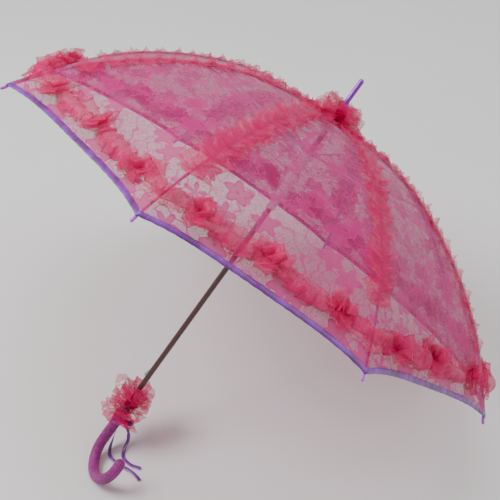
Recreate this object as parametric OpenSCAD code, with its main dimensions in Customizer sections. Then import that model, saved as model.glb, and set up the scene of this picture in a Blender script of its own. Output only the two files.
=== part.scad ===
// Folding lace parasol, open and lying on two rib tips and its crook handle.
// Drawn upright round the shaft, with height 0 in the plane of the rib tips, then laid down.

/* [Canopy] */
// Distance from the shaft's axis to the canopy's corners when open
canopy_r = 400; // [390:2:410]
// Height of the rib hinges above the canopy's corners
canopy_h = 182; // [176:2:186]
// Thickness of the lace panels
panel_t = 0.8; // [0.5:0.1:1.2]
// How far the hem curves in between two ribs, as a share of the canopy's radius
hem_scallop = 0.021; // [0.01:0.001:0.03]

/* [Ribs and stretchers] */
// Radius of the wire rings that the ribs and stretchers hinge on
hinge_r = 8; // [7.6:0.1:8.2]
// Distance from the shaft's axis to the joint between rib and stretcher
joint_r = 198; // [194:1:202]
// Height of the joint between rib and stretcher
joint_h = 159.6; // [157:0.2:161]
// Radius of the rib rods
rib_rod_r = 1.5; // [1.2:0.1:1.6]
// Radius of the stretcher rods
stretcher_rod_r = 1.3; // [1:0.1:1.4]
// Rise of the inner rib's bow above its chord
inner_bow = 15.9; // [14:0.1:17]
// Rise of the outer rib's bow above its chord
outer_bow = 16.7; // [14:0.1:18]
// Length of the bare tip past the canopy's corner
tip_length = 7; // [5:0.5:9]

/* [Shaft] */
// Radius of the shaft tube
shaft_r = 4; // [3.8:0.1:4.1]
// Wall of the shaft tube
shaft_wall = 0.6; // [0.5:0.1:0.8]
// Height of the ferrule's rounded end
ferrule_top = 261; // [250:1:275]
// Radius of the ferrule's bare end
ferrule_r = 3.7; // [3.5:0.1:3.8]

/* [Runner] */
// Length of the runner below its hinges
runner_length = 93; // [88:1:96]
// Largest radius of the runner's flared grip
runner_flare_r = 9.5; // [8.6:0.1:9.8]
// Distance from the runner's hinges to the middle of its catch window
window_drop = 48; // [46:0.5:50]

/* [Handle] */
// Height of the handle's upper end
handle_top = -300; // [-305:1:-298]
// Radius of the crook's plastic core
core_r = 6.8; // [6.4:0.1:7]
// Radius of the crook with its lace cover
grip_r = 7.75; // [7.4:0.05:8]
// Radius of the crook's bend, along its centre line
crook_bend_r = 38; // [34:1:42]
// Angle that the crook bends through
crook_angle = 191; // [170:1:200]
// Direction that the crook opens in, round the shaft
crook_turn = 250; // [240:1:260]
// Angle between the lying shaft and the floor
lean = 43.3; // [43:0.1:43.6]

/* [Hidden] */
RIBS = 8;
GORE = 360 / RIBS;
function rib_turn(k) = GORE / 2 + GORE * (k - 1);

$fn = 48;
running = 0.05;
plate_t = 1.6;
wire_r = 0.5;
eye_bore_r = 0.65;
eye_r = 1.8;
pin_r = 1;
cheek_t = 0.8;
cheek_gap = 0.1;
flat_r = 7;
tip_r = 2;

// The linkage is symmetric: crown hinge, joint and runner hinge make an isosceles triangle,
// so the runner slides straight along the shaft.
root_p = [hinge_r, canopy_h];
joint_p = [joint_r, joint_h];
corner_p = [canopy_r, 0];
runner_h = 2 * joint_h - canopy_h;
runner_p = [hinge_r, runner_h];
runner_foot = runner_h - runner_length;

function unit(v) = v / norm(v);
function arc_r(p, q, bow) = (pow(norm(q - p), 2) / 4 + bow * bow) / (2 * bow);
function arc_up(p, q) = let (d = unit(q - p)) [-d[1], d[0]];
function arc_centre(p, q, bow) = (p + q) / 2 - arc_up(p, q) * (arc_r(p, q, bow) - bow);
function angle_at(c, p) = atan2(p[1] - c[1], p[0] - c[0]);
function on_arc(p, q, bow, t, lift) =
    let (c = arc_centre(p, q, bow),
         a = angle_at(c, p) + t * (angle_at(c, q) - angle_at(c, p)),
         r = arc_r(p, q, bow) + lift)
    c + r * [cos(a), sin(a)];

outer_c = arc_centre(joint_p, corner_p, outer_bow);
tip_slope = angle_at(outer_c, corner_p) - 90;
inner_end_slope = angle_at(arc_centre(root_p, joint_p, inner_bow), joint_p) - 90;
stretcher_slope = atan2(runner_h - joint_h, hinge_r - joint_r);
tip_end = corner_p + tip_length * [cos(tip_slope), sin(tip_slope)];

// Laid down, the shaft leans at an angle and azimuth 0 faces the floor. The crook's straight
// part is as long as it needs to be for its bend to touch the floor with the two lowest tips.
tip_drop = tip_end[0] * cos(GORE / 2) * cos(lean) - tip_end[1] * sin(lean) + tip_r;
crook_side = -cos(crook_turn) * cos(lean);
crook_reach = sqrt(pow(crook_side, 2) + pow(sin(lean), 2));
bend_h = -(tip_drop - grip_r + crook_bend_r * (crook_side - crook_reach)) / sin(lean);

// Height of the cloth's inner side above the ribs' centre lines
panel_low = rib_rod_r + 1.3;

// Front and back of the part as it lies: the bulge of the lowest gore, and the crook's bend.
// The origin is midway between them.
bulge = [cos(GORE / 2) * sin(lean), cos(lean)];
front_x = bulge * outer_c + norm(bulge) * (arc_r(joint_p, corner_p, outer_bow) + panel_low + panel_t);
crook_sway = cos(crook_turn) * sin(lean);
back_x = bend_h * cos(lean) + crook_bend_r * (crook_sway - sqrt(pow(crook_sway, 2) + pow(cos(lean), 2))) - grip_r;
base_x = (front_x + back_x) / 2;

catch_turn = 135;
catch_w = 3;
catch_l = 12;
catch_out = 2.6;
top_catch_h = runner_h - window_drop;
closed_angle = 86;
linkage_arm = norm(joint_p - root_p);
closed_runner_h = canopy_h - 2 * linkage_arm * sin(closed_angle);
bottom_catch_h = closed_runner_h - window_drop;

// Satin ribbon tied round the neck. Each tail hangs from the knot and lies along the floor:
// points along its middle, in the lying frame, from the middle of the base.
ribbon_r = 2;
band_h = -330;
band_w = 6;
knot_r = 3.5;
TAIL_A = [
    [-211, -3, 41], [-209, -6, 34], [-208, -8, 26], [-209, -10, 18], [-212, -12, 11], [-217, -14, 6],
    [-223, -18, 3], [-228, -23, 2.3], [-231, -30, 2.3], [-231, -38, 2.3], [-229, -46, 2.3], [-225, -53, 2.3],
    [-221, -60, 2.3]];
TAIL_B = [
    [-213, 2, 41], [-217, 4, 34], [-221, 4, 26], [-225, 3, 18], [-230, 1, 11], [-236, -2, 6],
    [-241, -7, 3], [-244, -13, 2.3], [-245, -21, 2.3], [-244, -29, 2.3], [-242, -37, 2.3], [-239, -45, 2.3],
    [-236, -53, 2.3], [-234, -61, 2.3], [-233, -69, 2.3], [-233, -77, 2.3]];

module lie_down() {
    translate([-base_x, 0, tip_drop]) rotate([0, 90 - lean, 0]) children();
}

module at_rib(k) {
    lie_down() rotate([0, 0, rib_turn(k)]) children();
}

// A round rod bent along an arc in the rib's own upright plane
module arc_rod(p, q, bow, r) {
    c = arc_centre(p, q, bow);
    from = angle_at(c, q);
    sweep = angle_at(c, p) - from;
    translate([c[0], 0, c[1]]) rotate([90, -from, 0]) rotate_extrude(angle = sweep, $fn = 180)
        translate([arc_r(p, q, bow), 0]) circle(r, $fn = 24);
}

// A disc or bore across the rib's plane, centred on point p
module across(p, r, t) {
    translate([p[0], 0, p[1]]) rotate([90, 0, 0]) cylinder(h = t, r = r, center = true);
}

// Two blocks that leave only a thin flat between them, within reach of point p
module beside_flat(p, reach) {
    for (side = [-1, 1]) translate([p[0], side * (plate_t / 2 + 5), p[1]])
        rotate([90, 0, 0]) cylinder(h = 10, r = reach, center = true);
}

module rib(k) {
    color("mediumorchid") at_rib(k) {
        difference() {
            union() {
                arc_rod(root_p, joint_p, inner_bow, rib_rod_r);
                across(root_p, eye_r, plate_t);
            }
            beside_flat(root_p, flat_r);
            across(root_p, eye_bore_r, 2 * plate_t);
            across(joint_p, 4.2, 8);
        }
        // Two cheeks and the pin that carry the stretcher and the rib's outer end
        for (side = [-1, 1]) {
            y = side * (plate_t / 2 + cheek_gap + cheek_t / 2);
            translate([0, y, 0]) {
                across(joint_p, 2.2, cheek_t);
                translate([joint_p[0], 0, joint_p[1]]) rotate([0, -inner_end_slope, 0])
                    translate([-4.5, 0, 0]) cube([9, cheek_t, 2.4], center = true);
            }
        }
        across(joint_p, pin_r, 6.4);
    }
}

module rib_end(k) {
    color("mediumorchid") at_rib(k) difference() {
        union() {
            arc_rod(joint_p, corner_p, outer_bow, rib_rod_r);
            across(joint_p, eye_r + 0.4, plate_t);
        }
        beside_flat(joint_p, flat_r);
        across(joint_p, pin_r + running, 2 * plate_t);
    }
}

module rib_tip(k) {
    color("violet") at_rib(k) translate([corner_p[0], 0, corner_p[1]])
        rotate([0, 90 - tip_slope, 0]) {
            cylinder(h = tip_length, r = tip_r);
            translate([0, 0, tip_length]) sphere(tip_r);
        }
}

module stretcher(k) {
    inner_y = plate_t / 2 + 2 * cheek_gap + cheek_t;
    color("thistle") at_rib(k) {
        difference() {
            union() {
                translate([joint_p[0], 0, joint_p[1]]) rotate([0, 90 - stretcher_slope, 0])
                    translate([0, 0, 12]) cylinder(h = linkage_arm - 12, r = stretcher_rod_r);
                across(runner_p, eye_r, plate_t);
            }
            beside_flat(runner_p, flat_r);
            across(runner_p, eye_bore_r, 2 * plate_t);
        }
        difference() {
            union() {
                for (side = [-1, 1]) translate([0, side * (inner_y + cheek_t / 2), 0]) {
                    across(joint_p, 2, cheek_t);
                    translate([joint_p[0], 0, joint_p[1]]) rotate([0, -stretcher_slope, 0])
                        translate([7, 0, 0]) cube([14, cheek_t, 2.2], center = true);
                }
                translate([joint_p[0], 0, joint_p[1]]) rotate([0, -stretcher_slope, 0])
                    translate([12.6, 0, 0]) cube([2.8, 2 * inner_y + cheek_t, 2.2], center = true);
            }
            across(joint_p, pin_r + running, 10);
        }
    }
}

// A wire ring round the shaft at a given height
module wire_ring(h) {
    lie_down() translate([0, 0, h]) rotate_extrude($fn = 96)
        translate([hinge_r, 0]) circle(wire_r, $fn = 20);
}

// A notched disc with a groove for the wire and a slot for each rib or stretcher
module notched_disc(h, bore) {
    translate([0, 0, h]) difference() {
        cylinder(h = 6, r = hinge_r + 2.4, center = true);
        cylinder(h = 10, r = bore, center = true);
        difference() {
            cylinder(h = 2 * wire_r + 0.1, r = hinge_r + 5, center = true);
            cylinder(h = 4, r = hinge_r - wire_r - 0.05, center = true);
        }
        for (k = [1:RIBS]) rotate([0, 0, rib_turn(k)])
            translate([hinge_r - eye_r - 0.15, -plate_t / 2 - 0.3, -5]) cube([20, plate_t + 0.6, 10]);
    }
}

module crown_notch() {
    color("white") lie_down() notched_disc(canopy_h, shaft_r + 0.01);
}

module crown_wire() {
    color("silver") wire_ring(canopy_h);
}

module runner_wire() {
    color("silver") wire_ring(runner_h);
}

module runner() {
    bore = shaft_r + running;
    neck_r = 6.2;
    flare_h = runner_h - 34;
    color("lavender") lie_down() {
        notched_disc(runner_h, bore);
        difference() {
            rotate_extrude() polygon([
                [bore, runner_foot], [5.6, runner_foot], [6.2, runner_foot + 6], [6.4, runner_foot + 24],
                [8.2, flare_h - 14], [runner_flare_r, flare_h - 4], [runner_flare_r, flare_h],
                [neck_r, flare_h + 4], [neck_r, runner_h - 3], [bore, runner_h - 3]]);
            rotate([0, 0, catch_turn]) translate([shaft_r - 1, -catch_w / 2 - 0.4, top_catch_h - catch_l / 2 - 0.6])
                cube([12, catch_w + 0.8, catch_l + 1.2]);
        }
    }
}

module catch_slot(h) {
    rotate([0, 0, catch_turn]) translate([0, -catch_w / 2 - 0.2, h - catch_l / 2 - 0.3])
        cube([10, catch_w + 0.4, catch_l + 0.6]);
}

module shaft() {
    color("saddlebrown") lie_down() difference() {
        translate([0, 0, handle_top - 40]) cylinder(h = canopy_h + 10 - handle_top + 40, r = shaft_r);
        translate([0, 0, handle_top - 41]) cylinder(h = canopy_h + 12 - handle_top + 40, r = shaft_r - shaft_wall);
        catch_slot(top_catch_h);
        catch_slot(bottom_catch_h);
    }
}

// A steel catch that stands out of its slot, square towards the canopy's load and sloped behind.
// Pressed in, it stays clear of the shaft's far wall.
module spring_catch(h, slope_side) {
    color("gainsboro") lie_down() translate([0, 0, h]) rotate([0, 0, catch_turn])
        scale([1, 1, slope_side]) rotate([90, 0, 0]) linear_extrude(catch_w, center = true)
            polygon([[0.4, -catch_l / 2], [shaft_r + 0.3, -catch_l / 2], [shaft_r + catch_out, catch_l / 6],
                     [shaft_r + catch_out, catch_l / 2], [0.4, catch_l / 2]]);
}

module top_catch() {
    spring_catch(top_catch_h, 1);
}

module bottom_catch() {
    spring_catch(bottom_catch_h, -1);
}

// The ferrule's collar is as thick as the shaft, up to the top of the rosette
module ferrule() {
    foot = canopy_h + 10;
    bare_from = canopy_h + 42;
    color("darkviolet") lie_down() {
        translate([0, 0, foot]) cylinder(h = bare_from - foot, r = shaft_r);
        translate([0, 0, bare_from - 1]) cylinder(h = ferrule_top - ferrule_r - bare_from + 1, r = ferrule_r);
        translate([0, 0, ferrule_top - ferrule_r]) sphere(ferrule_r);
        translate([0, 0, foot - 8]) cylinder(h = 9, r = shaft_r - shaft_wall - 0.02);
    }
}

// The washer of doubled cloth under the rosette, over the gathered middle of the canopy
module canopy_cap() {
    low = canopy_h + 5.5;
    color("deeppink") lie_down() difference() {
        translate([0, 0, low]) cylinder(h = 2.5, r1 = 17, r2 = 13);
        translate([0, 0, low - 1]) cylinder(h = 5, r = shaft_r + 0.1);
    }
}

module crown_rosette() {
    low = canopy_h + 17;
    color("hotpink") lie_down() rotate_extrude() polygon([
        [shaft_r + 0.3, low], [12, low], [34, low + 2], [41, low + 12], [36, low + 24],
        [22, low + 20], [shaft_r + 1.7, low + 22]]);
}

// A section swept along the handle: straight down the shaft, round the bend and over its end
module along_crook() {
    translate([0, 0, bend_h]) linear_extrude(handle_top - bend_h) children();
    rotate([0, 0, crook_turn]) translate([crook_bend_r, 0, bend_h]) {
        rotate([90, 0, 0]) rotate([0, 0, 180]) rotate_extrude(angle = crook_angle, $fn = 120)
            translate([crook_bend_r, 0]) children();
        rotate([0, 180 - crook_angle, 0]) translate([crook_bend_r, 0, 0]) rotate_extrude()
            intersection() {
                children();
                square(2 * grip_r);
            }
    }
}

module crook_core() {
    color("darkmagenta") lie_down() difference() {
        along_crook() circle(core_r);
        translate([0, 0, handle_top - 40]) cylinder(h = 41, r = shaft_r + 0.01);
    }
}

module crook_cover() {
    color("purple") lie_down() along_crook() difference() {
        circle(grip_r);
        circle(core_r + 0.02);
    }
}

// A hollow flower of organza tied round the handle's top, open in the middle for the runner
module neck_rosette() {
    color("deeppink") lie_down() rotate_extrude() polygon([
        [grip_r + 0.2, handle_top - 26], [13, handle_top - 24], [23, handle_top - 8], [24, handle_top + 12],
        [21, handle_top + 30], [19, handle_top + 36], [14, handle_top + 36], [13, handle_top + 4],
        [grip_r + 0.2, handle_top - 3]]);
}

// A band of ribbon round the crook's neck, with its knot on the side that faces the floor
module ribbon_band() {
    color("darkviolet") lie_down() translate([0, 0, band_h]) {
        difference() {
            cylinder(h = band_w, r = grip_r + 1, center = true);
            cylinder(h = band_w + 2, r = grip_r + 0.02, center = true);
        }
        translate([grip_r + 2.6, 0, -0.5]) difference() {
            sphere(knot_r);
            translate([-2.6 - grip_r, 0, 0]) cylinder(h = 2 * band_w, r = grip_r + 0.9, center = true);
        }
    }
}

// A round tube along a list of points, with one ring of sides at each point
module tube_along(points, r) {
    sides = 8;
    last = len(points) - 1;
    rings = [for (i = [0:last])
        let (along = unit(points[min(i + 1, last)] - points[max(i - 1, 0)]),
             across = unit(cross(along, [1, 0, 0])),
             third = cross(along, across))
        each [for (j = [0:sides - 1]) points[i] + r * (cos(360 * j / sides) * across + sin(360 * j / sides) * third)]];
    walls = [for (i = [0:last - 1]) for (j = [0:sides - 1])
        let (a = i * sides + j, b = i * sides + (j + 1) % sides)
        each [[a, a + sides, b + sides], [a, b + sides, b]]];
    ends = [[for (j = [0:sides - 1]) j], [for (j = [sides - 1:-1:0]) last * sides + j]];
    polyhedron(rings, concat(walls, ends));
}

module ribbon_tail_a() {
    color("darkviolet") tube_along(TAIL_A, ribbon_r);
}

module ribbon_tail_b() {
    color("darkviolet") tube_along(TAIL_B, ribbon_r);
}

// One lace panel, centred on a rib: rows run from the cap to the hem, columns from one
// middle of a gore to the next. The cloth lies just above the rib and straight across each gore.
PANEL_ROWS = 14;
PANEL_COLS = 8;
panel_start = 0.07;
seam_gap = 0.3;

function hem_share(t) = 1 - hem_scallop * (1 - pow(1 - abs(t), 4));
function rib_profile(s, lift) = s < 1
    ? on_arc(root_p, joint_p, inner_bow, s, lift)
    : on_arc(joint_p, corner_p, outer_bow, s - 1, lift);
function panel_point(t, s, lift) =
    let (p = rib_profile(s, lift),
         half = (p[0] * cos(GORE / 2)) * sin(GORE / 2) - seam_gap / 2,
         back = p[0] * pow(sin(GORE / 2), 2))
    [p[0] - abs(t) * back, t * half, p[1]];
function panel_s(t, row) = panel_start + (2 * hem_share(t) - panel_start) * row / PANEL_ROWS;
function panel_layer(lift) = [for (row = [0:PANEL_ROWS]) for (col = [0:PANEL_COLS])
    let (t = 2 * col / PANEL_COLS - 1) panel_point(t, panel_s(t, row), lift)];

module lace_panel(k) {
    wide = PANEL_COLS + 1;
    count = wide * (PANEL_ROWS + 1);
    points = concat(panel_layer(panel_low), panel_layer(panel_low + panel_t));
    low_faces = [for (row = [0:PANEL_ROWS - 1]) for (col = [0:PANEL_COLS - 1])
        let (a = row * wide + col) each [[a, a + wide + 1, a + wide], [a, a + 1, a + wide + 1]]];
    top_faces = [for (f = low_faces) [f[2] + count, f[1] + count, f[0] + count]];
    edge = concat(
        [for (col = [0:PANEL_COLS - 1]) col],
        [for (row = [0:PANEL_ROWS - 1]) row * wide + PANEL_COLS],
        [for (col = [PANEL_COLS:-1:1]) PANEL_ROWS * wide + col],
        [for (row = [PANEL_ROWS:-1:1]) row * wide]);
    sides = [for (i = [0:len(edge) - 1])
        let (a = edge[i], b = edge[(i + 1) % len(edge)])
        each [[a, a + count, b + count], [a, b + count, b]]];
    color("deeppink", 0.7) at_rib(k) polyhedron(points, concat(low_faces, top_faces, sides));
}

shaft();
ferrule();
crown_notch();
crown_wire();
canopy_cap();
crown_rosette();
top_catch();
bottom_catch();
crook_core();
crook_cover();
neck_rosette();
ribbon_band();
ribbon_tail_a();
ribbon_tail_b();
runner();
runner_wire();
for (k = [1:RIBS]) {
    rib(k);
    rib_end(k);
    rib_tip(k);
    stretcher(k);
    lace_panel(k);
}
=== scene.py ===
"""The cloth, trimmings and finishes of a folding lace parasol, built round its CAD frame."""

import math
import random

import bmesh
import bpy
from mathutils import Matrix, Vector, noise


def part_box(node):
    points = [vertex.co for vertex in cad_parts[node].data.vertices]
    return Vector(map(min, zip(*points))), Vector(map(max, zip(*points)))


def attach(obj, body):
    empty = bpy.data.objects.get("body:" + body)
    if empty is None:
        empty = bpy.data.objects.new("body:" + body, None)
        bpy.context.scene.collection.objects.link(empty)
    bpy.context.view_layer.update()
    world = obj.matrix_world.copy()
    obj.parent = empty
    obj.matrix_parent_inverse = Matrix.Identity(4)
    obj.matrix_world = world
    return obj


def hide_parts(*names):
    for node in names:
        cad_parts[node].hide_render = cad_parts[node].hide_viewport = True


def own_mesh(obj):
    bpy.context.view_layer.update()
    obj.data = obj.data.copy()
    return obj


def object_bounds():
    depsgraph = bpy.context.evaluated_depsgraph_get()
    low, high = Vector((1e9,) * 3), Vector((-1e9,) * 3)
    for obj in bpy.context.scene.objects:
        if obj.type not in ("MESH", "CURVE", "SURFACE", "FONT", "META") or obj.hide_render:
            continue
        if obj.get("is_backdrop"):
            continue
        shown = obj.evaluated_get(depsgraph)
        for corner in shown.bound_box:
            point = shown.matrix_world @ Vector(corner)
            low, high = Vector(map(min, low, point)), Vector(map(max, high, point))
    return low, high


bl_info = {
    "name": "Lace Parasol",
    "version": (1, 0, 0),
    "blender": (4, 5, 0),
    "location": "3D View > Sidebar > Parasol",
    "description": "Builds the lace canopy, gauze frills, ribbons and finishes of a folding parasol",
    "category": "Add Mesh",
}

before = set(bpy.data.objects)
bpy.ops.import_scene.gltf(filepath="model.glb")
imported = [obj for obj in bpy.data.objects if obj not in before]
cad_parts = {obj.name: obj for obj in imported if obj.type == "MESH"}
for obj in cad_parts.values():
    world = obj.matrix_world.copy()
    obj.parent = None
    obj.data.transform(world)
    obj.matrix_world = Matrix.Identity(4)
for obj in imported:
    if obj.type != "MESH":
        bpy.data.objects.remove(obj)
CAD_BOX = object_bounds()

RIBS = range(1, 9)
GORE = math.radians(45)
LEAN = math.radians(43.3)
FRAME_BODY = "shaft_and_handle"

# Directions of the lying parasol: along the shaft towards the ferrule, across it towards
# the floor, and level across the canopy.
ALONG = Vector((math.cos(LEAN), 0, math.sin(LEAN)))
DOWN = Vector((math.sin(LEAN), 0, -math.cos(LEAN)))
SIDE = Vector((0, 1, 0))

# The rib's line in its own plane, in millimetres: distance from the shaft, and height above
# the canopy's corners.
ROOT = Vector((8, 182))
JOINT = Vector((198, 159.6))
CORNER = Vector((400, 0))

# Rise of each rib half above its chord, and of the cloth above the rib's line, in millimetres
INNER_BOW = 15.9
OUTER_BOW = 16.7
CLOTH_LIFT = 2.8

# Share along the rib at which the lace begins, and share of the rib by which the hem draws in
# between two corners
LACE_START = 0.07
HEM_SCALLOP = 0.021

# Ends of the frill along a rib, and the overlap of its two halves at the joint, in millimetres
# from the rib's root
FRILL_START = 26
FRILL_END = 372
FRILL_OVERLAP = 5

# Radius of the crook's cover, and height of the ribbon round it, in millimetres
GRIP_RADIUS = 7.75
NECK = -330

# Length of cloth in a frill for each length sewn down, and in a loop for each length it stands out
FULLNESS = 1.3
LOOP_CUT = 2.2

# Layers of gauze in each frill, the narrower second one counted by its width
RIB_FRILL_LAYERS = 1.7
HEM_FRILL_LAYERS = 1.75

# Length of the hem in one gore, in millimetres, and the loops in one bunch along it
HEM_RUN = 270
BUNCH_LOOPS = 9

HUB = sum(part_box("crown_wire"), Vector()) / 2


def laid(x, y, height):
    """A point of the upright parasol, in millimetres, in the row frame."""
    return HUB + (DOWN * x + SIDE * y + ALONG * (height - ROOT.y)) * 0.001


def bow(start, end, rise):
    """Centre, radius and end angles of the arc that a rib half follows."""
    chord = end - start
    radius = (chord.length_squared / 4 + rise * rise) / (2 * rise)
    centre = (start + end) / 2 - Vector((-chord.y, chord.x)).normalized() * (radius - rise)
    first, last = start - centre, end - centre
    return centre, radius, math.atan2(first.y, first.x), math.atan2(last.y, last.x)


BOWS = (bow(ROOT, JOINT, INNER_BOW), bow(JOINT, CORNER, OUTER_BOW))
INNER_LENGTH, OUTER_LENGTH = (radius * abs(last - first) for _, radius, first, last in BOWS)


def rib_line(share, lift):
    """Distance and height of the rib, from 0 at the crown through 1 at the joint to 2 at the corner."""
    centre, radius, first, last = BOWS[share >= 1]
    angle = first + (share - (share >= 1)) * (last - first)
    return centre + Vector((math.cos(angle), math.sin(angle))) * (radius + lift)


def share_at(length):
    """The share along the rib at a length from its root, in millimetres."""
    return length / INNER_LENGTH if length < INNER_LENGTH else 1 + (length - INNER_LENGTH) / OUTER_LENGTH


def half_gore(share):
    """Half the width of the cloth between two ribs, in millimetres."""
    return rib_line(share, CLOTH_LIFT).x * math.cos(GORE / 2) * math.sin(GORE / 2)


def rib_turn(rib):
    """Angle of a rib round the shaft."""
    return GORE / 2 + GORE * (rib - 1)


def at_rib(rib, radius, across, height):
    """A point out along a rib and across from it, in millimetres, in the row frame."""
    turn = rib_turn(rib)
    return laid(
        radius * math.cos(turn) - across * math.sin(turn),
        radius * math.sin(turn) + across * math.cos(turn),
        height,
    )


def on_cloth(rib, share, across, lift=0.0):
    """A point on the canopy, a distance across from the rib's line and a lift above the cloth."""
    spot = rib_line(share, CLOTH_LIFT + lift)
    return at_rib(rib, spot.x - abs(across) * math.tan(GORE / 2), across, spot.y)


def hem_share(t):
    """Share at which the cloth ends, for t from -1 to 1 between the middles of two gores."""
    return 2 * (1 - HEM_SCALLOP * (1 - (1 - abs(t)) ** 4))


def joint_share(t):
    """Share at which the cloth crosses the plane through a rib's joint, off the rib as well as on it."""
    wanted = JOINT.x / (1 - abs(t) * math.sin(GORE / 2) ** 2)
    low, high = 1.0, 1.6
    for _ in range(24):
        middle = (low + high) / 2
        if rib_line(middle, CLOTH_LIFT).x < wanted:
            low = middle
        else:
            high = middle
    return high


def sway(value, seed):
    """Smooth irregularity from -1 to 1 along a strip."""
    return noise.noise(Vector((value, seed * 7.31, 0.5)))


# ---------------------------------------------------------------------------------------
# Meshes


def woven(bm, columns, rows, place, measure, edge=None):
    """Add a sheet to bm: place, measure and edge take the shares along and across it, and give
    a corner's point, its place on the flat cloth in metres and its distance from a free edge."""
    flat = bm.loops.layers.uv.get("cloth") or bm.loops.layers.uv.new("cloth")
    rim = bm.verts.layers.float.get("edge") or bm.verts.layers.float.new("edge")
    made = bmesh.ops.create_grid(bm, x_segments=columns, y_segments=rows, size=0.5)["verts"]
    shares = {v: (v.co.x + 0.5, v.co.y + 0.5) for v in made}
    faces = {f for v in made for f in v.link_faces}
    for face in faces:
        middle = sum(shares[v][0] for v in face.verts) / len(face.verts)
        for corner in face.loops:
            corner[flat].uv = measure(*shares[corner.vert], middle)
        face.smooth = True
    for v in made:
        v[rim] = edge(*shares[v]) if edge else 1.0
    for v in made:
        v.co = place(*shares[v])
    return made


def finished(name, bm, material, body, weld=0.0):
    """Make bm a piece that rides on a body."""
    if weld:
        bmesh.ops.remove_doubles(bm, verts=bm.verts, dist=weld)
        bmesh.ops.recalc_face_normals(bm, faces=bm.faces)
    mesh = bpy.data.meshes.new(name)
    bm.to_mesh(mesh)
    bm.free()
    mesh.materials.append(material)
    piece = bpy.data.objects.new(name, mesh)
    bpy.context.collection.objects.link(piece)
    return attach(piece, body)


def declare(length):
    """Turns a sheet's cut length from millimetres into metres and drops the result; nothing is declared."""
    length * 0.001


def folds_with(piece, rib):
    """Gives the piece a mesh of its own; the point at the rib's joint is worked out and not kept."""
    on_cloth(rib, 1.0, 0)
    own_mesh(piece)


def loop_of_gauze(bm, foot, out, across, length, height, width, curl, phase):
    """Add one loop of gauze ribbon that leaves foot, turns over at its length and comes back."""
    out, across = out.normalized(), across.normalized()
    rise = out.cross(across)
    flat_length = LOOP_CUT * length

    def place(u, v):
        angle, c = 2 * math.pi * u, 2 * v - 1
        reach = length * (1 - math.cos(angle)) / 2
        lift = height * math.sin(angle) * (0.35 + 0.65 * math.sin(angle / 2))
        wide = width * (0.3 + 0.7 * math.sin(angle / 2) ** 0.8) * (1 + 0.12 * math.sin(2 * angle + phase))
        ripple = c * c * math.sin(3 * angle + phase)
        twist = 0.6 * c * math.cos(2 * angle + 2 * phase)
        flutter = curl * ripple + curl * twist
        return foot + (out * (reach + flutter) + rise * (lift + 0.7 * flutter) + across * (c * wide)) * 0.001

    woven(
        bm,
        18,
        6,
        place,
        lambda u, v, _: (u * flat_length * 0.001, (2 * v - 1) * width * 0.001),
        lambda u, v: width * 0.001 * (1 - abs(2 * v - 1)),
    )


# ---------------------------------------------------------------------------------------
# Materials


class Wire:
    """A number socket of a material, so that shader maths reads as an expression."""

    def __init__(self, finish, socket):
        self.finish, self.socket = finish, socket

    def maths(self, operation, *values):
        settings = {"operation": operation}
        made = self.finish.node("ShaderNodeMath", settings, dict(enumerate(values)))
        return Wire(self.finish, made.outputs[0])

    def __add__(self, other):
        return self.maths("ADD", self, other)

    def __sub__(self, other):
        return self.maths("SUBTRACT", self, other)

    def __mul__(self, other):
        return self.maths("MULTIPLY", self, other)

    def __rsub__(self, other):
        return self.maths("SUBTRACT", other, self)

    __radd__ = __add__
    __rmul__ = __mul__

    def cosine(self):
        return self.maths("COSINE", self)

    def away(self):
        return self.maths("ABSOLUTE", self)

    def most(self, other):
        return self.maths("MAXIMUM", self, other)

    def least(self, other):
        return self.maths("MINIMUM", self, other)

    def below(self, limit, soft):
        """1 where the value is under limit, 0 above it, with an edge soft wide."""
        return self.ramp(limit + soft / 2, limit - soft / 2)

    def ramp(self, low, high):
        """0 at low and 1 at high, smoothly, whichever is the larger."""
        made = self.finish.node(
            "ShaderNodeMapRange",
            {"interpolation_type": "SMOOTHSTEP"},
            {"Value": self, "From Min": low, "From Max": high},
        )
        return Wire(self.finish, made.outputs[0])


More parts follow.
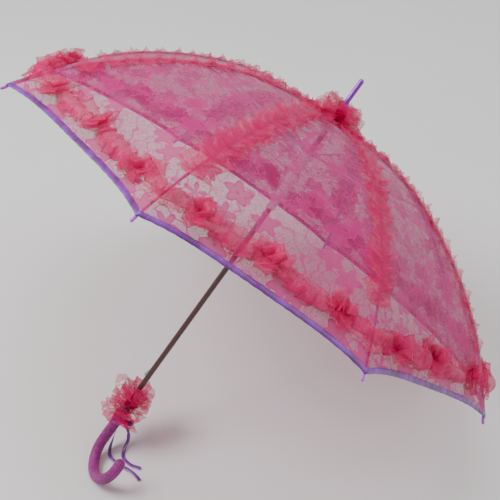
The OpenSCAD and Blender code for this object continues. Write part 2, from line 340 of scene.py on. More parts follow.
class Finish:
    """A node material and the methods that put it together."""

    def __init__(self, name):
        self.material = bpy.data.materials.new(name)
        self.material.use_nodes = True
        self.tree = self.material.node_tree
        self.tree.nodes.clear()

    def link(self, value, socket):
        if isinstance(value, Wire):
            value = value.socket
        if isinstance(value, bpy.types.NodeSocket):
            self.tree.links.new(value, socket)
        else:
            socket.default_value = value

    def node(self, kind, settings=None, values=None):
        made = self.tree.nodes.new(kind)
        for key, value in (settings or {}).items():
            setattr(made, key, value)
        for key, value in (values or {}).items():
            self.link(value, made.inputs[key])
        return made

    def cloth(self, scale_x, scale_y=None):
        """Place on the flat cloth, in units of 1/scale metres."""
        flat = self.node("ShaderNodeUVMap", {"uv_map": "cloth"}).outputs[0]
        size = (scale_x, scale_y or scale_x, 1)
        return self.node("ShaderNodeVectorMath", {"operation": "MULTIPLY"}, {0: flat, 1: size}).outputs[0]

    def place(self, scale):
        """Place in the row frame, in units of 1/scale metres."""
        spot = self.node("ShaderNodeTexCoord").outputs["Object"]
        if isinstance(scale, (int, float)):
            scale = (scale, scale, scale)
        return self.node("ShaderNodeVectorMath", {"operation": "MULTIPLY"}, {0: spot, 1: scale}).outputs[0]

    def edge(self):
        return Wire(self, self.node("ShaderNodeAttribute", {"attribute_name": "edge"}).outputs["Fac"])

    def grain(self, vector, detail=3.0, roughness=0.5):
        values = {"Vector": vector, "Scale": 1.0, "Detail": detail, "Roughness": roughness}
        return Wire(self, self.node("ShaderNodeTexNoise", None, values).outputs["Fac"])

    def cells(self, vector, feature="F1", randomness=1.0):
        values = {"Vector": vector, "Scale": 1.0, "Randomness": randomness}
        return self.node("ShaderNodeTexVoronoi", {"feature": feature}, values)

    def flowers(self, vector, petals, reach, depth, randomness):
        """Distance inside a flower's outline, and the distance from its middle, in cells."""
        cell = self.cells(vector, randomness=randomness)
        from_middle = self.node(
            "ShaderNodeVectorMath", {"operation": "SUBTRACT"}, {0: vector, 1: cell.outputs["Position"]}
        ).outputs[0]
        parts = self.node("ShaderNodeSeparateXYZ", None, {0: from_middle})
        angle = Wire(self, parts.outputs[1]).maths("ARCTAN2", parts.outputs[1], parts.outputs[0])
        tint = self.node("ShaderNodeSeparateColor", None, {0: cell.outputs["Color"]})
        turn = Wire(self, tint.outputs[0]) * 6.28
        middle = Wire(self, cell.outputs["Distance"])
        outline = (angle * petals + turn).cosine() * depth + reach
        return outline - middle, middle

    def mix(self, factor, first, second):
        made = self.node(
            "ShaderNodeMix", {"data_type": "RGBA"}, {0: factor, 6: colour(first), 7: colour(second)}
        )
        return made.outputs[2]

    def bump(self, height, strength, distance):
        values = {"Height": height, "Strength": strength, "Distance": distance}
        return self.node("ShaderNodeBump", None, values).outputs[0]

    def surface(self, **values):
        named = {key.replace("_", " ").title().replace("Ior", "IOR"): value for key, value in values.items()}
        return self.node("ShaderNodeBsdfPrincipled", None, named)

    def see_through(self, shader, tint, glow, cover):
        """Let light through the cloth by the share glow, and leave its gaps open by cover."""
        lit = self.node("ShaderNodeBsdfTranslucent", None, {"Color": colour(tint)})
        thin = self.node("ShaderNodeMixShader", None, {0: glow, 1: shader.outputs[0], 2: lit.outputs[0]})
        clear = self.node("ShaderNodeBsdfTransparent")
        return self.node("ShaderNodeMixShader", None, {0: cover, 1: clear.outputs[0], 2: thin.outputs[0]})

    def done(self, shader):
        self.node("ShaderNodeOutputMaterial", None, {"Surface": shader.outputs[0]})
        return self.material


def colour(value):
    """A colour of three parts with its alpha added, and anything else as it is."""
    return (*value, 1.0) if isinstance(value, (tuple, list)) and len(value) == 3 else value


def shade(value, factor):
    """A colour made darker or lighter."""
    return tuple(min(1.0, part * factor) for part in value)


def lace_finish(name, tint):
    """Floral lace: flowers and sprigs worked densely on a fine net."""
    f = Finish(name)
    inside, middle = f.flowers(f.cloth(26), 5, 0.36, 0.10, 0.55)
    petals = inside.ramp(-0.02, 0.02)
    outline = (inside - 0.02).away().below(0.035, 0.02)
    heart = middle.below(0.07, 0.02)
    inside_small, _ = f.flowers(f.cloth(61, 61), 4, 0.30, 0.13, 0.85)
    sprigs = inside_small.ramp(-0.03, 0.03)
    vine = (f.grain(f.cloth(34), 1.0) - 0.5).away().below(0.022, 0.015)
    worked = petals.most(sprigs * 0.85).most(vine)
    net = Wire(f, f.cells(f.cloth(520), "DISTANCE_TO_EDGE", 0.55).outputs["Distance"]).below(0.13, 0.08)
    threads = f.grain(f.cloth(900, 300), 1.0)
    cord = outline.most(heart)
    cover = (net * 0.22 + 0.50).most(worked * 0.86).most(cord * 0.96)
    shaded = f.mix(worked, shade(tint, 0.80), tint)
    shaded = f.mix(cord, shaded, shade(tint, 1.1))
    height = worked * 0.6 + cord * 0.4 + threads * 0.3
    cloth = f.surface(
        base_color=shaded,
        roughness=worked * 0.15 + 0.42,
        sheen_weight=0.35,
        sheen_roughness=0.4,
        normal=f.bump(height, 0.6, 0.0004),
    )
    return f.done(f.see_through(cloth, tint, 0.25, cover))


def gauze_finish(name, tint, rolled):
    """Sheer gathered gauze with a rolled and overlocked edge."""
    f = Finish(name)
    edge = f.edge().below(0.0009, 0.0006)
    weave = f.grain(f.cloth(1400, 1400), 1.0)
    creases = f.grain(f.cloth(260, 26), 3.0, 0.6)
    patchy = f.grain(f.cloth(60, 60), 2.0)
    cover = (creases.ramp(0.25, 0.8) * 0.38 + 0.32 + weave * 0.08).most(edge * 0.9)
    body = f.mix(patchy.ramp(0.3, 0.7), shade(tint, 0.82), shade(tint, 1.12))
    shaded = f.mix(edge, body, rolled)
    cloth = f.surface(
        base_color=shaded,
        roughness=0.46 - creases * 0.16,
        sheen_weight=0.5,
        sheen_roughness=0.3,
        normal=f.bump(creases, 0.55, 0.0012),
    )
    return f.done(f.see_through(cloth, tint, 0.4, cover))


def satin_finish(name, tint, painted_shade_tint):
    """Satin ribbon: fine cross ribs, a gloss that runs along it, and painted shade, with broad patches along
    it painted in the satin's darker colour.
    """
    f = Finish(name)
    ribs = f.grain(f.cloth(900, 120), 2.0)
    broad = f.grain(f.cloth(55, 20), 2.0)
    # Painted shade: broad patches along the ribbon are painted in the darker satin colour for satin turned
    # away from the light, with the satin's own colour between them.
    shaded = f.mix(broad.ramp(0.3, 0.7), painted_shade_tint, tint)
    return f.done(
        f.surface(
            base_color=shaded,
            roughness=ribs * 0.12 + 0.22,
            specular_ior_level=0.7,
            sheen_weight=0.2,
            coat_weight=broad.ramp(0.2, 0.9) * 0.3,
            coat_roughness=0.25,
            normal=f.bump(ribs + broad * 2.0, 0.35, 0.0005),
        )
    )


def enamel_finish(name, tint, gloss, chips, metal=0.0):
    """Enamelled tube or rod, with a little orange peel and rubbed places."""
    f = Finish(name)
    peel = f.grain(f.place(420), 2.0)
    rubbed = f.grain(f.place(90), 4.0, 0.65).ramp(0.60, 0.74) * chips
    shaded = f.mix(rubbed, tint, shade(tint, 1.9))
    return f.done(
        f.surface(
            base_color=shaded,
            metallic=metal,
            roughness=rubbed * 0.25 + peel * 0.08 + gloss,
            coat_weight=0.5 - rubbed * 0.4,
            coat_roughness=0.12,
            normal=f.bump(peel, 0.12, 0.0003),
        )
    )


def moulded_finish(name, tint, gloss):
    """Moulded plastic: faint flow marks and a fine grain."""
    f = Finish(name)
    flow = f.grain(f.place((60, 60, 25)), 3.0)
    fine = f.grain(f.place(1500), 1.0)
    shaded = f.mix(flow.ramp(0.35, 0.7), shade(tint, 0.86), tint)
    return f.done(
        f.surface(
            base_color=shaded,
            roughness=fine * 0.08 + gloss,
            specular_ior_level=0.5,
            normal=f.bump(fine, 0.15, 0.0001),
        )
    )


def wire_finish(name, tint):
    """Drawn spring steel."""
    f = Finish(name)
    drawn = f.grain(f.place(900), 2.0)
    return f.done(
        f.surface(
            base_color=f.mix(drawn, shade(tint, 0.7), tint),
            metallic=1.0,
            roughness=drawn * 0.2 + 0.2,
            normal=f.bump(drawn, 0.1, 0.0001),
        )
    )


def grip_lace_finish(name, tint, light):
    """Stretch lace drawn tightly over the crook: light flowers over a dark ground."""
    f = Finish(name)
    big = f.cells(f.place(170), randomness=0.9)
    rings = ((Wire(f, big.outputs["Distance"]) * 15.0).cosine() * 0.5 + 0.5).ramp(0.35, 0.75)
    net = Wire(f, f.cells(f.place(650), "DISTANCE_TO_EDGE", 0.6).outputs["Distance"]).below(0.12, 0.1)
    blotch = f.grain(f.place(48), 3.0, 0.6).ramp(0.4, 0.62)
    worked = (rings * 0.7 + blotch * 0.5).least(1.0)
    shaded = f.mix(worked, tint, light)
    shaded = f.mix(net * 0.45, shaded, shade(light, 1.2))
    return f.done(
        f.surface(
            base_color=shaded,
            roughness=0.5 - worked * 0.12,
            sheen_weight=0.12,
            sheen_roughness=0.35,
            normal=f.bump(worked + net * 0.6, 0.7, 0.0006),
        )
    )


def floor_finish(name):
    """Plain pale floor, a little uneven."""
    f = Finish(name)
    worn = f.grain(f.place(3), 2.0)
    return f.done(f.surface(base_color=f.mix(worn, (0.74, 0.72, 0.70), (0.80, 0.78, 0.76)), roughness=0.7))


def look(name):
    """The parasol's finish of that name, made once."""
    found = bpy.data.materials.get(name)
    if found:
        return found
    tints = bpy.context.scene.parasol_colours
    makers = {
        "floral lace": lambda: lace_finish(name, tuple(tints.lace)),
        "gauze": lambda: gauze_finish(name, tuple(tints.gauze), tuple(tints.rolled_edge)),
        "ribbon satin": lambda: satin_finish(name, tuple(tints.satin), tuple(tints.satin_shade)),
        "shaft enamel": lambda: enamel_finish(name, tuple(tints.shaft), 0.16, 0.5),
        "ferrule enamel": lambda: enamel_finish(name, tuple(tints.ferrule), 0.10, 0.25, 0.35),
        "rib enamel": lambda: enamel_finish(name, tuple(tints.rib), 0.22, 0.6, 0.45),
        "stretcher enamel": lambda: enamel_finish(name, tuple(tints.stretcher), 0.18, 0.4, 0.6),
        "runner plastic": lambda: moulded_finish(name, tuple(tints.runner), 0.22),
        "tip plastic": lambda: moulded_finish(name, tuple(tints.tip), 0.25),
        "crook plastic": lambda: moulded_finish(name, shade(tints.crook, 0.7), 0.3),
        "spring steel": lambda: wire_finish(name, (0.75, 0.74, 0.78)),
        "grip lace": lambda: grip_lace_finish(name, tuple(tints.crook), tuple(tints.crook_light)),
        "floor": lambda: floor_finish(name),
    }
    return makers[name]()


# ---------------------------------------------------------------------------------------
# Settings


def tint_property(name, description, default):
    return bpy.props.FloatVectorProperty(
        name=name, description=description, subtype="COLOR", size=3, min=0, max=1, default=default
    )


def length_property(name, description, default):
    return bpy.props.FloatProperty(name=name, description=description, default=default, min=0, unit="LENGTH")


class ParasolColours(bpy.types.PropertyGroup):
    """Colours of the parasol's finishes."""

    lace: tint_property("Lace", "Canopy lace", (0.52, 0.001, 0.17))
    gauze: tint_property("Gauze", "Frills and rosettes", (0.80, 0.002, 0.18))
    rolled_edge: tint_property("Rolled Edge", "Thread of the frills' rolled edges", (0.50, 0.003, 0.08))
    satin: tint_property("Satin", "Hem binding and neck ribbon", (0.22, 0.008, 0.40))
    satin_shade: tint_property("Satin Shade", "Satin away from the light", (0.11, 0.003, 0.15))
    shaft: tint_property("Shaft", "Enamel of the shaft", (0.075, 0.028, 0.026))
    ferrule: tint_property("Ferrule", "Enamel of the ferrule", (0.24, 0.02, 0.42))
    rib: tint_property("Ribs", "Enamel of the ribs", (0.42, 0.12, 0.46))
    stretcher: tint_property("Stretchers", "Enamel of the stretchers", (0.66, 0.46, 0.72))
    runner: tint_property("Runner", "Plastic of the runner and the crown notch", (0.86, 0.78, 0.90))
    tip: tint_property("Tips", "Plastic of the rib tips", (0.45, 0.06, 0.62))
    crook: tint_property("Crook", "Ground of the crook's lace cover", (0.11, 0.004, 0.085))
    crook_light: tint_property("Crook Flowers", "Flowers of the crook's lace cover", (0.34, 0.012, 0.22))


class ParasolSizes(bpy.types.PropertyGroup):
    """Sizes of the parasol's cloth and trimmings."""

    binding_width: length_property("Binding Width", "Width of the satin that binds the hem", 0.008)
    rib_frill_width: length_property("Rib Frill Width", "Width of the frill along each rib", 0.044)
    hem_frill_width: length_property("Hem Frill Width", "Width of the gathered frill along the hem", 0.034)
    hem_frill_inset: length_property("Hem Frill Inset", "Distance of that frill from the hem", 0.036)
    crown_loop: length_property("Crown Loop", "Length of the crown rosette's loops", 0.040)
    neck_loop: length_property("Neck Loop", "Length of the neck rosette's loops", 0.032)
    ribbon_width: length_property("Ribbon Width", "Width of the neck ribbon's tails", 0.005)


# ---------------------------------------------------------------------------------------
# Operators


class PARASOL_OT_stage(bpy.types.Operator):
    """Set up the floor, the soft lights and the camera"""

    bl_idname = "parasol.stage"
    bl_label = "Stage"

    def execute(self, context):
        bm = bmesh.new()
        bmesh.ops.create_grid(bm, x_segments=8, y_segments=8, size=30)
        mesh = bpy.data.meshes.new("floor")
        bm.to_mesh(mesh)
        bm.free()
        mesh.materials.append(look("floor"))
        floor = bpy.data.objects.new("floor", mesh)
        context.collection.objects.link(floor)
        floor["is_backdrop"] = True

        world = bpy.data.worlds.new("studio")
        world.use_nodes = True
        backdrop = world.node_tree.nodes["Background"]
        backdrop.inputs[0].default_value = (0.93, 0.95, 1.0, 1)
        backdrop.inputs[1].default_value = 0.5
        context.scene.world = world

        self.light(context, "key", (-1.3, 0.9, 2.2), 1.3, 58)
        self.light(context, "fill", (1.6, -1.4, 1.7), 2.2, 20)
        self.light(context, "top", (0.3, 0.1, 2.6), 1.2, 22)

        camera = bpy.data.objects.new("camera", bpy.data.cameras.new("camera"))
        camera.data.sensor_width = 36
        camera.data.lens = 89.32
        context.collection.objects.link(camera)
        forward = Vector((0.413, 0.6129, -0.6737)).normalized()
        level = forward.cross(Vector((0, 0, 1))).normalized()
        roll = math.radians(1.78)
        right = level * math.cos(roll) - level.cross(forward) * math.sin(roll)
        up = right.cross(forward)
        facing = Matrix((right, up, -forward)).transposed().to_4x4()
        camera.matrix_world = Matrix.Translation((-0.6989, -1.0662, 1.4211)) @ facing
        context.scene.camera = camera
        # Sheer cloth lies in many layers
        context.scene.cycles.transparent_max_bounces = 32
        return {"FINISHED"}

    def light(self, context, name, spot, size, power):
        lamp = bpy.data.objects.new(name, bpy.data.lights.new(name, "AREA"))
        lamp.data.size = size
        lamp.data.energy = power
        lamp.location = spot
        lamp.rotation_mode = "QUATERNION"
        aim = Vector((0, 0, 0.25))
        lamp.rotation_quaternion = (aim - Vector(spot)).to_track_quat("-Z", "Y")
        context.collection.objects.link(lamp)


# Points along the middle of each ribbon tail, as its CAD solid has them, in metres
TAIL_A = [
    (-0.211, -0.003, 0.041), (-0.209, -0.006, 0.034), (-0.208, -0.008, 0.026), (-0.209, -0.010, 0.018),
    (-0.212, -0.012, 0.011), (-0.217, -0.014, 0.006), (-0.223, -0.018, 0.003), (-0.228, -0.023, 0.0023),
    (-0.231, -0.030, 0.0023), (-0.231, -0.038, 0.0023), (-0.229, -0.046, 0.0023), (-0.225, -0.053, 0.0023),
    (-0.221, -0.060, 0.0023),
]
TAIL_B = [
    (-0.213, 0.002, 0.041), (-0.217, 0.004, 0.034), (-0.221, 0.004, 0.026), (-0.225, 0.003, 0.018),
    (-0.230, 0.001, 0.011), (-0.236, -0.002, 0.006), (-0.241, -0.007, 0.003), (-0.244, -0.013, 0.0023),
    (-0.245, -0.021, 0.0023), (-0.244, -0.029, 0.0023), (-0.242, -0.037, 0.0023), (-0.239, -0.045, 0.0023),
    (-0.236, -0.053, 0.0023), (-0.234, -0.061, 0.0023), (-0.233, -0.069, 0.0023), (-0.233, -0.077, 0.0023),
]


def smooth_path(points, steps):
    """More points on one smooth curve through the given ones."""
    path = []
    last = len(points) - 1
    for i in range(last):
        before, start, end, after = (Vector(points[min(max(j, 0), last)]) for j in (i - 1, i, i + 1, i + 2))
        for step in range(steps):
            t = step / steps
            path.append(
                0.5
                * (
                    2 * start
                    + (end - before) * t
                    + (2 * before - 5 * start + 4 * end - after) * t * t
                    + (3 * start - before - 3 * end + after) * t**3
                )
            )
    return path + [Vector(points[last])]


class PARASOL_OT_ribbon(bpy.types.Operator):
    """Tie the satin ribbon round the handle's neck, with its knot, bow loops and two tails"""

    bl_idname = "parasol.ribbon"
    bl_label = "Neck Ribbon"

    def execute(self, context):
        width = context.scene.parasol_sizes.ribbon_width
        self.tail("ribbon_tail_a_satin", TAIL_A, "ribbon_tail_a", width, 0.7)
        self.tail("ribbon_tail_b_satin", TAIL_B, "ribbon_tail_b", width, 2.0)
        bm = bmesh.new()
        for turn, height in ((0.0, 1.5), (0.5, -1.8)):
            self.band(bm, height, turn)
        self.knot(bm)
        piece = finished("ribbon_band_satin", bm, look("ribbon satin"), FRAME_BODY, weld=1e-6)
        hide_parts("ribbon_band")
        bm = bmesh.new()
        knot = laid(GRIP_RADIUS + 3, 0, NECK)
        for sign in (-1, 1):
            out = SIDE * sign * 0.9 + ALONG * 0.25 + DOWN * 0.55
            loop_of_gauze(bm, knot, out, ALONG, 17, 6, 3.4, 0.5, 1.0 + sign)
        bow_loops = finished("ribbon_bow", bm, look("ribbon satin"), FRAME_BODY)
        declare(50)
        return {"FINISHED"}

    def tail(self, name, points, node, width, twist):
        """One flat end of the ribbon, which turns to lie flat where it nears the floor."""
        path = smooth_path(points, 4)
        last = len(path) - 1
        sides = 8
        spots = []
        across = Vector((1, 0, 0))
        for i, spot in enumerate(path):
            along = (path[min(i + 1, last)] - path[max(i - 1, 0)]).normalized()
            flat = max(0, 1 - spot.z / 0.02)
            level = along.cross(Vector((0, 0, 1)))
            if level.length > 0.3:
                across = across.lerp(level.normalized() * math.copysign(1, level.dot(across)), 0.35)
            across = (across - along * across.dot(along)).normalized()
            thick = along.cross(across)
            lean = twist * (1 - flat) * 0.4
            spots.append((spot, across * math.cos(lean) + thick * math.sin(lean), along))
        bm = bmesh.new()
        length = sum((path[i + 1] - path[i]).length for i in range(last))

        def place(u, v):
            spot, side, along = spots[round(u * last)]
            angle = 2 * math.pi * v
            rise = side.cross(along)
            ripple = 0.0004 * math.sin(u * 23 + twist)
            return spot + side * (math.cos(angle) * width / 2) + rise * (math.sin(angle) * 0.0004 + ripple)

        woven(bm, last, sides, place, lambda u, v, _: (u * length, v * width))
        piece = finished(name, bm, look("ribbon satin"), FRAME_BODY, weld=1e-6)
        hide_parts(node)
        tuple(path[0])

    def band(self, bm, height, phase):
        """One turn of the ribbon round the neck."""

        def place(u, v):
            angle, round_it = 2 * math.pi * u, 2 * math.pi * v
            slant = 1.2 * math.sin(angle + phase)
            radius = GRIP_RADIUS + 0.75 + 0.5 * math.sin(round_it) + 0.15 * math.sin(5 * angle)
            along = NECK + height + slant + 2.4 * math.cos(round_it)
            return laid(radius * math.cos(angle), radius * math.sin(angle), along)

        woven(bm, 48, 8, place, lambda u, v, _: (u * 0.05, v * 0.006))

    def knot(self, bm):
        """The crumpled knot in front of the turns."""
        centre = laid(GRIP_RADIUS + 3.2, 0, NECK)
        made = bmesh.ops.create_icosphere(bm, subdivisions=4, radius=0.0034)["verts"]
        for v in made:
            n = v.co.normalized()
            fold = 1 + 0.12 * math.sin(7 * n.z + 2 * n.x) + 0.10 * noise.noise(n * 2.2)
            v.co = centre + ALONG * v.co.z * fold * 1.15 + SIDE * v.co.y * fold + DOWN * v.co.x * fold * 0.75
        for face in {f for v in made for f in v.link_faces}:
            face.smooth = True


class PARASOL_OT_frame_finishes(bpy.types.Operator):
    """Give the frame's metal and plastic parts their finishes"""

    bl_idname = "parasol.frame_finishes"
    bl_label = "Frame Finishes"

    def execute(self, context):
        named = {
            "shaft": "shaft enamel",
            "ferrule": "ferrule enamel",
            "crown_notch": "runner plastic",
            "crown_wire": "spring steel",
            "runner": "runner plastic",
            "runner_wire": "spring steel",
            "top_catch": "spring steel",
            "bottom_catch": "spring steel",
            "crook_core": "crook plastic",
            "crook_cover": "grip lace",
        }
        for rib in RIBS:
            named[f"rib_{rib}"] = named[f"rib_end_{rib}"] = "rib enamel"
            named[f"stretcher_{rib}"] = "stretcher enamel"
            named[f"rib_tip_{rib}"] = "tip plastic"
        for node, finish in named.items():
            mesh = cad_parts[node].data
            mesh.materials.clear()
            mesh.materials.append(look(finish))
        return {"FINISHED"}


class PARASOL_OT_lace(bpy.types.Operator):
    """Stretch the lace over the ribs, in an inner and an outer piece for each rib"""

    bl_idname = "parasol.lace"
    bl_label = "Lace"

    def execute(self, context):
        for rib in RIBS:
            inner = self.panel(f"lace_inner_{rib}", rib, lambda t: LACE_START, joint_share, f"rib_{rib}", 12)
            outer = self.panel(f"lace_outer_{rib}", rib, joint_share, hem_share, f"rib_end_{rib}", 18)
            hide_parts(f"lace_panel_{rib}")
            declare(186)
            declare(266)
        return {"FINISHED"}

    def panel(self, name, rib, start, end, body, rows):
        def spot(u, v):
            t = 2 * u - 1
            return t, start(t) + (end(t) - start(t)) * v

        def place(u, v):
            t, share = spot(u, v)
            slack = 1.2 * math.sin(math.pi * abs(t)) * min(share, 1.6)
            return on_cloth(rib, share, t * half_gore(share), -slack)

        def measure(u, v, middle):
            t, share = spot(u, v)
            from_middle = t - 1 if middle > 0.5 else t + 1
            length = INNER_LENGTH * min(share, 1) + OUTER_LENGTH * max(share - 1, 0)
            return from_middle * half_gore(share) * 0.001, length * 0.001

        bm = bmesh.new()
        woven(bm, 32, rows, place, measure)
        piece = finished(name, bm, look("floral lace"), body)
        folds_with(piece, rib)
        return piece


class PARASOL_OT_hem_binding(bpy.types.Operator):
    """Bind the scalloped hem with satin ribbon"""

    bl_idname = "parasol.hem_binding"
    bl_label = "Hem Binding"

    def execute(self, context):
        width = context.scene.parasol_sizes.binding_width * 1000
        for rib in RIBS:

            def place(u, v):
                t, angle = 2 * u - 1, 2 * math.pi * (v + 0.5)
                pucker = 0.35 * math.sin(70 * t) + 0.5 * sway(9 * t, rib)
                inset = width / 2 * (1 - math.cos(angle)) - 1.0 + pucker * 0.4
                share = hem_share(t) - inset / OUTER_LENGTH
                lift = 0.9 * math.sin(angle) + pucker * 0.5
                return on_cloth(rib, share, t * half_gore(share), lift)

            bm = bmesh.new()
            woven(bm, 96, 8, place, lambda u, v, _: (u * HEM_RUN * 0.001, v * width * 0.002))
            piece = finished(f"hem_binding_{rib}", bm, look("ribbon satin"), f"rib_end_{rib}")
            folds_with(piece, rib)
            declare(300)
        return {"FINISHED"}


class PARASOL_OT_rib_frills(bpy.types.Operator):
    """Sew a gathered gauze frill along each rib"""

    bl_idname = "parasol.rib_frills"
    bl_label = "Rib Frills"

    def execute(self, context):
        half = context.scene.parasol_sizes.rib_frill_width * 500
        for rib in RIBS:
            inner_end, outer_start = INNER_LENGTH + FRILL_OVERLAP, INNER_LENGTH - FRILL_OVERLAP
            self.frill(f"rib_frill_inner_{rib}", rib, half, FRILL_START, inner_end, f"rib_{rib}")
            self.frill(f"rib_frill_outer_{rib}", rib, half, outer_start, FRILL_END, f"rib_end_{rib}")
        return {"FINISHED"}

    def frill(self, name, rib, half, start, end, body):
        bm = bmesh.new()
        for layer, (reach, rise, pitch) in enumerate(((1.0, 5.5, 33.0), (0.7, 8.5, 24.0))):
            seed = rib * 3.7 + layer * 1.9

            def place(u, v):
                c = 2 * v - 1
                spot = start + (end - start) * u
                phase = 2 * math.pi * spot / pitch + 1.8 * sway(spot / 30, seed) + (0 if c > 0 else 2.2)
                size = 1 + 0.5 * sway(spot / 17, seed + 1)
                out = abs(c)
                lift = 0.8 + rise * size * out**1.25 * (0.45 + 0.55 * math.sin(phase))
                across = c * half * reach * size * (1 + 0.14 * math.sin(phase + 1.1))
                along = spot + 2.5 * out * math.cos(phase)
                return on_cloth(rib, share_at(along), across, lift)

            woven(
                bm,
                round((end - start) / pitch * 16),
                10,
                place,
                lambda u, v, _: (u * (end - start) * 0.0016, (2 * v - 1) * half * reach * 0.001),
                lambda u, v: half * reach * 0.001 * (1 - abs(2 * v - 1)),
            )
        piece = finished(name, bm, look("gauze"), body)
        folds_with(piece, rib)
        declare(FULLNESS * RIB_FRILL_LAYERS * (end - start))


class PARASOL_OT_hem_frills(bpy.types.Operator):
    """Sew the puffed gauze strip along the hem, with its bunches of loops"""

    bl_idname = "parasol.hem_frills"
    bl_label = "Hem Frills"

    def execute(self, context):
        sizes = context.scene.parasol_sizes
        half, inset = sizes.hem_frill_width * 500, sizes.hem_frill_inset * 1000
        for rib in RIBS:
            self.strip(rib, half, inset)
            self.bunches(rib, inset)
        return {"FINISHED"}

    def strip(self, rib, half, inset):
        bm = bmesh.new()
        for layer in (0, 1):
            seed = rib * 5.3 + layer * 2.9

            def place(u, v):
                t, c = 2 * u - 1, 2 * v - 1
                run = (t + 1) * 1.5
                puff = math.sin(math.pi * (run % 1))
                phase = 2 * math.pi * run * (4.5 + layer) + 2 * sway(run * 2.2, seed)
                size = 1 + 0.45 * sway(run * 1.7, seed + 1)
                wide = half * (0.45 + 0.55 * puff) * size * (1 - 0.25 * layer)
                arch = (5 + 9 * layer) * puff * size * (1 - c * c)
                wave = 5.5 * size * abs(c) ** 1.3 * (0.5 + 0.5 * math.sin(phase + (0 if c > 0 else 1.9)))
                middle = inset + 7 * puff * (1 if int(run) % 2 else -1) * (0.4 + 0.6 * layer)
                share = hem_share(t) - (middle + c * wide) / OUTER_LENGTH
                across = t * half_gore(share) + 3.5 * abs(c) * math.cos(phase)
                return on_cloth(rib, share, across, 1.2 + arch + wave)

            woven(
                bm,
                168,
                10,
                place,
                lambda u, v, _: (u * 0.42, (2 * v - 1) * half * 0.001),
                lambda u, v: half * 0.001 * (1 - abs(2 * v - 1)),
            )
        piece = finished(f"hem_frill_{rib}", bm, look("gauze"), f"rib_end_{rib}")
        folds_with(piece, rib)
        declare(FULLNESS * HEM_FRILL_LAYERS * HEM_RUN)

    def bunches(self, rib, inset):
        rng = random.Random(40 + rib)
        bm = bmesh.new()
        for t in (-1 / 3, 1 / 3, 0.985):
            share = hem_share(t) - (inset + rng.uniform(-4, 6)) / OUTER_LENGTH
            across = t * half_gore(share)
            foot = on_cloth(rib, share, across, 1.5)
            away = (on_cloth(rib, share, across, 12) - foot).normalized()
            down = (on_cloth(rib, share + 0.02, across, 1.5) - foot).normalized()
            level = down.cross(away)
            for i in range(BUNCH_LOOPS):
                turn = 2 * math.pi * (i + rng.uniform(-0.4, 0.4)) / BUNCH_LOOPS * 2
                tilt = rng.uniform(0.05, 0.45) if i < 6 else rng.uniform(0.6, 1.1)
                flat_out = down * math.cos(turn) + level * math.sin(turn)
                out = flat_out * math.cos(tilt) + away * math.sin(tilt)
                side = level * math.cos(turn) - down * math.sin(turn)
                size = rng.uniform(18, 30) * (1 if i < 6 else 0.7)
                height, width, phase = rng.uniform(3.5, 6), rng.uniform(8, 12), rng.uniform(0, 6.28)
                loop_of_gauze(bm, foot, out, side, size, height, width, 1.8, phase)
        piece = finished(f"hem_bunches_{rib}", bm, look("gauze"), f"rib_end_{rib}")
        folds_with(piece, rib)
        declare(3 * BUNCH_LOOPS * LOOP_CUT * 22)


def rosette(bm, tiers, rng, length, wide):
    """Add loops round the shaft: each tier is a height, a count, a tilt, a size and a foot radius."""
    for height, count, tilt, size, foot_radius in tiers:
        for i in range(count):
            turn = 2 * math.pi * (i + rng.uniform(-0.28, 0.28)) / count + height
            lean = tilt + rng.uniform(-0.22, 0.22)
            outward = DOWN * math.cos(turn) + SIDE * math.sin(turn)
            level = -DOWN * math.sin(turn) + SIDE * math.cos(turn)
            foot = laid(foot_radius * math.cos(turn), foot_radius * math.sin(turn), height)
            out = outward * math.cos(lean) + ALONG * math.sin(lean) + level * rng.uniform(-0.25, 0.25)
            long = length * size * rng.uniform(0.86, 1.08)
            rise, width = long * rng.uniform(0.22, 0.34), wide * rng.uniform(0.8, 1.15)
            loop_of_gauze(bm, foot, out, level, long, rise, width, 2.4, turn * 3)


class PARASOL_OT_crown_rosette(bpy.types.Operator):
    """Tie the rosette of gauze loops round the foot of the ferrule, over the gathered middle"""

    bl_idname = "parasol.crown_rosette"
    bl_label = "Crown Rosette"

    def execute(self, context):
        length = context.scene.parasol_sizes.crown_loop * 1000
        self.cap()
        bm = bmesh.new()
        tiers = ((190, 10, -0.02, 0.92, 4.5), (193, 9, 0.32, 0.95, 4.5), (197, 8, 0.75, 0.82, 4.5))
        rosette(bm, tiers, random.Random(5), length, 13)
        piece = finished("crown_rosette_gauze", bm, look("gauze"), FRAME_BODY)
        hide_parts("crown_rosette")
        loops, mean_size = sum(tier[1] for tier in tiers), 0.9
        declare(loops * LOOP_CUT * mean_size * length)
        return {"FINISHED"}

    def cap(self):
        """A small disc of cloth drawn up round the ferrule's foot, in pleats."""

        def place(u, v):
            angle = 2 * math.pi * u
            pleat = 0.9 * math.sin(22 * angle) * (1 - 0.5 * v)
            radius = 4.6 + 16 * v
            return laid(radius * math.cos(angle), radius * math.sin(angle), 190.5 - 2.2 * v + pleat)

        bm = bmesh.new()
        woven(bm, 176, 6, place, lambda u, v, _: (u * 0.1, v * 0.016), lambda u, v: 0.016 * (1 - v))
        piece = finished("crown_cap_gauze", bm, look("gauze"), FRAME_BODY, weld=1e-6)
        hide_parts("canopy_cap")
        declare(41)


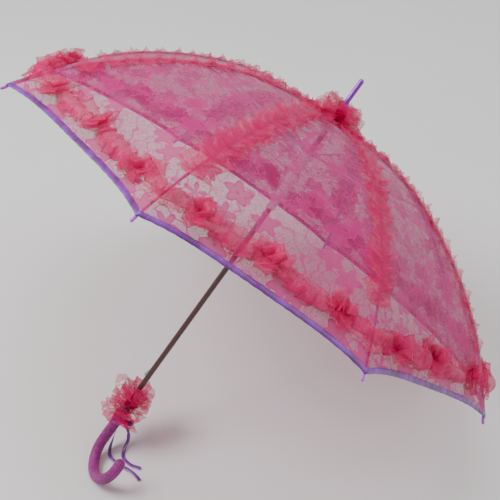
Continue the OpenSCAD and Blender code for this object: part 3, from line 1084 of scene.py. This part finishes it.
class PARASOL_OT_neck_rosette(bpy.types.Operator):
    """Tie the crumpled rosette of gauze loops round the top of the handle"""

    bl_idname = "parasol.neck_rosette"
    bl_label = "Neck Rosette"

    def execute(self, context):
        length = context.scene.parasol_sizes.neck_loop * 1000
        bm = bmesh.new()
        tiers = (
            (-318, 7, -0.55, 0.72, 8.2),
            (-312, 8, 0.05, 0.62, 8.2),
            (-305, 8, 0.55, 0.85, 8.2),
            (-300, 7, 1.0, 1.05, 8.5),
        )
        rosette(bm, tiers, random.Random(11), length, 10)
        piece = finished("neck_rosette_gauze", bm, look("gauze"), FRAME_BODY)
        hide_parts("neck_rosette")
        loops, mean_size = sum(tier[1] for tier in tiers), 0.82
        declare(loops * LOOP_CUT * mean_size * length)
        return {"FINISHED"}


OPERATORS = (
    PARASOL_OT_stage,
    PARASOL_OT_ribbon,
    PARASOL_OT_frame_finishes,
    PARASOL_OT_lace,
    PARASOL_OT_hem_binding,
    PARASOL_OT_rib_frills,
    PARASOL_OT_hem_frills,
    PARASOL_OT_crown_rosette,
    PARASOL_OT_neck_rosette,
)


class PARASOL_PT_panel(bpy.types.Panel):
    """Lists the parasol's colours, sizes and pieces"""

    bl_idname = "PARASOL_PT_panel"
    bl_label = "Parasol"
    bl_space_type = "VIEW_3D"
    bl_region_type = "UI"
    bl_category = "Parasol"

    def draw(self, context):
        for group in (context.scene.parasol_colours, context.scene.parasol_sizes):
            for name in group.__annotations__:
                self.layout.prop(group, name)
        for operator in OPERATORS:
            self.layout.operator(operator.bl_idname)


CLASSES = (ParasolColours, ParasolSizes, *OPERATORS, PARASOL_PT_panel)


def register():
    for cls in CLASSES:
        bpy.utils.register_class(cls)
    bpy.types.Scene.parasol_colours = bpy.props.PointerProperty(type=ParasolColours)
    bpy.types.Scene.parasol_sizes = bpy.props.PointerProperty(type=ParasolSizes)


def unregister():
    del bpy.types.Scene.parasol_colours
    del bpy.types.Scene.parasol_sizes
    for cls in reversed(CLASSES):
        bpy.utils.unregister_class(cls)


def main():
    register()
    for operator in OPERATORS:
        group, name = operator.bl_idname.split(".")
        getattr(getattr(bpy.ops, group), name)()
    boxes = {"cad": CAD_BOX, "model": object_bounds()}
    {name: [list(corner) for corner in box] for name, box in boxes.items()}


if __name__ == "__main__":
    main()
